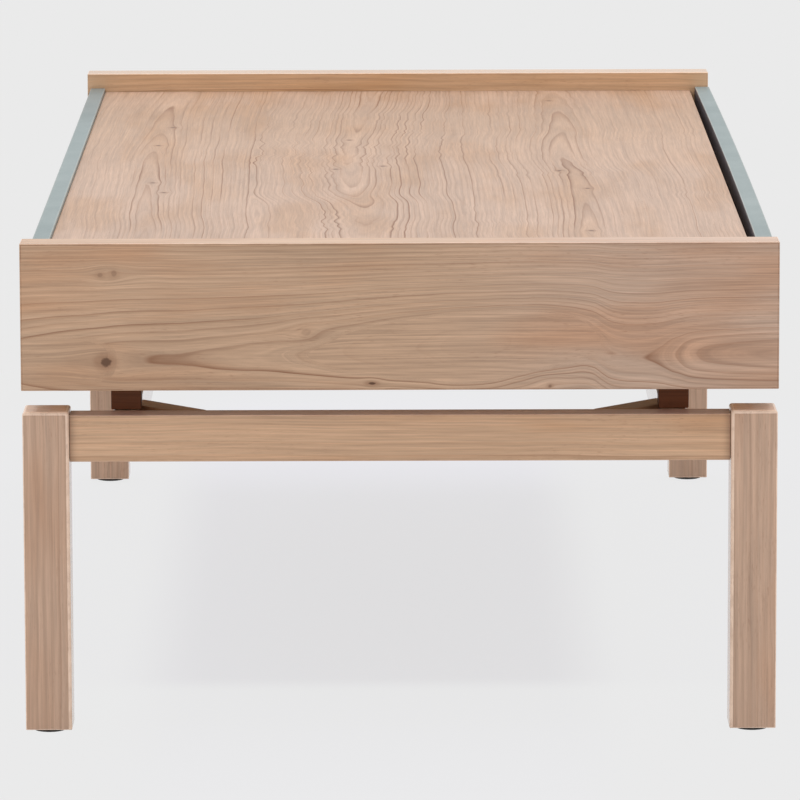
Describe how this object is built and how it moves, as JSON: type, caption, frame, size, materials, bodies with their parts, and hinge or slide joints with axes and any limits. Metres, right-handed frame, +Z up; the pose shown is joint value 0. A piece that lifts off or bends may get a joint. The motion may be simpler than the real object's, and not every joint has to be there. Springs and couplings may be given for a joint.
{
  "type": "coffee table",
  "caption": "Low coffee table: a box with raised end boards and a full-length painted drawer on each long side, standing clear of an open frame with square legs.",
  "frame": {"origin": "on the floor, under the middle of the table", "axes": "+X across the table towards the right-hand drawer, +Y along it from the near end to the far end, +Z up"},
  "size_m": [0.603, 1.2, 0.3975],
  "materials": {
    "frame_wood": "satin",
    "panel_wood": "satin",
    "inner_wood": "matte",
    "plywood": "matte",
    "blue_paint": "satin",
    "zinc_steel": "satin",
    "dark_plastic": "matte"
  },
  "bodies": {
    "table": {"end_board_near": "frame_wood", "end_board_far": "frame_wood", "top_panel": "panel_wood", "bottom_panel": "plywood", "centre_divider": "inner_wood", "runner_left_near": "inner_wood", "runner_left_far": "inner_wood", "runner_right_near": "inner_wood", "runner_right_far": "inner_wood", "stop_left": "inner_wood", "stop_right": "inner_wood", "leg_near_left": "frame_wood", "leg_near_right": "frame_wood", "leg_far_left": "frame_wood", "leg_far_right": "frame_wood", "glide_near_left": "dark_plastic", "glide_near_right": "dark_plastic", "glide_far_left": "dark_plastic", "glide_far_right": "dark_plastic", "end_rail_near": "frame_wood", "end_rail_far": "frame_wood", "long_rail_left": "frame_wood", "long_rail_right": "frame_wood", "corner_brace_near_left": "frame_wood", "corner_brace_near_right": "frame_wood", "corner_brace_far_left": "frame_wood", "corner_brace_far_right": "frame_wood", "spacer_near_left": "frame_wood", "spacer_near_right": "frame_wood", "spacer_far_left": "frame_wood", "spacer_far_right": "frame_wood", "middle_batten": "frame_wood", "leg_tenon_near_left": "inner_wood", "leg_tenon_near_right": "inner_wood", "leg_tenon_far_left": "inner_wood", "leg_tenon_far_right": "inner_wood", "rail_tenon_near_left": "inner_wood", "rail_tenon_near_right": "inner_wood", "rail_tenon_far_left": "inner_wood", "rail_tenon_far_right": "inner_wood", "mounting_screw_near_left": "zinc_steel", "mounting_screw_near_right": "zinc_steel", "mounting_screw_far_left": "zinc_steel", "mounting_screw_far_right": "zinc_steel", "mounting_screw_middle_left": "zinc_steel", "mounting_screw_middle_right": "zinc_steel"},
    "left_drawer": {"drawer_front_left": "blue_paint", "inner_front_left": "inner_wood", "drawer_side_left_near": "inner_wood", "drawer_side_left_far": "inner_wood", "drawer_back_left": "inner_wood", "drawer_base_left": "plywood"},
    "right_drawer": {"drawer_front_right": "blue_paint", "inner_front_right": "inner_wood", "drawer_side_right_near": "inner_wood", "drawer_side_right_far": "inner_wood", "drawer_back_right": "inner_wood", "drawer_base_right": "plywood"}
  },
  "joints": [
    {"name": "left_drawer_slide", "type": "slide", "parent": "table", "child": "left_drawer", "axis": [-1, 0, 0], "range_m": [0, 0.2]},
    {"name": "right_drawer_slide", "type": "slide", "parent": "table", "child": "right_drawer", "axis": [1, 0, 0], "range_m": [-0.0042, 0.1958]}
  ]
}
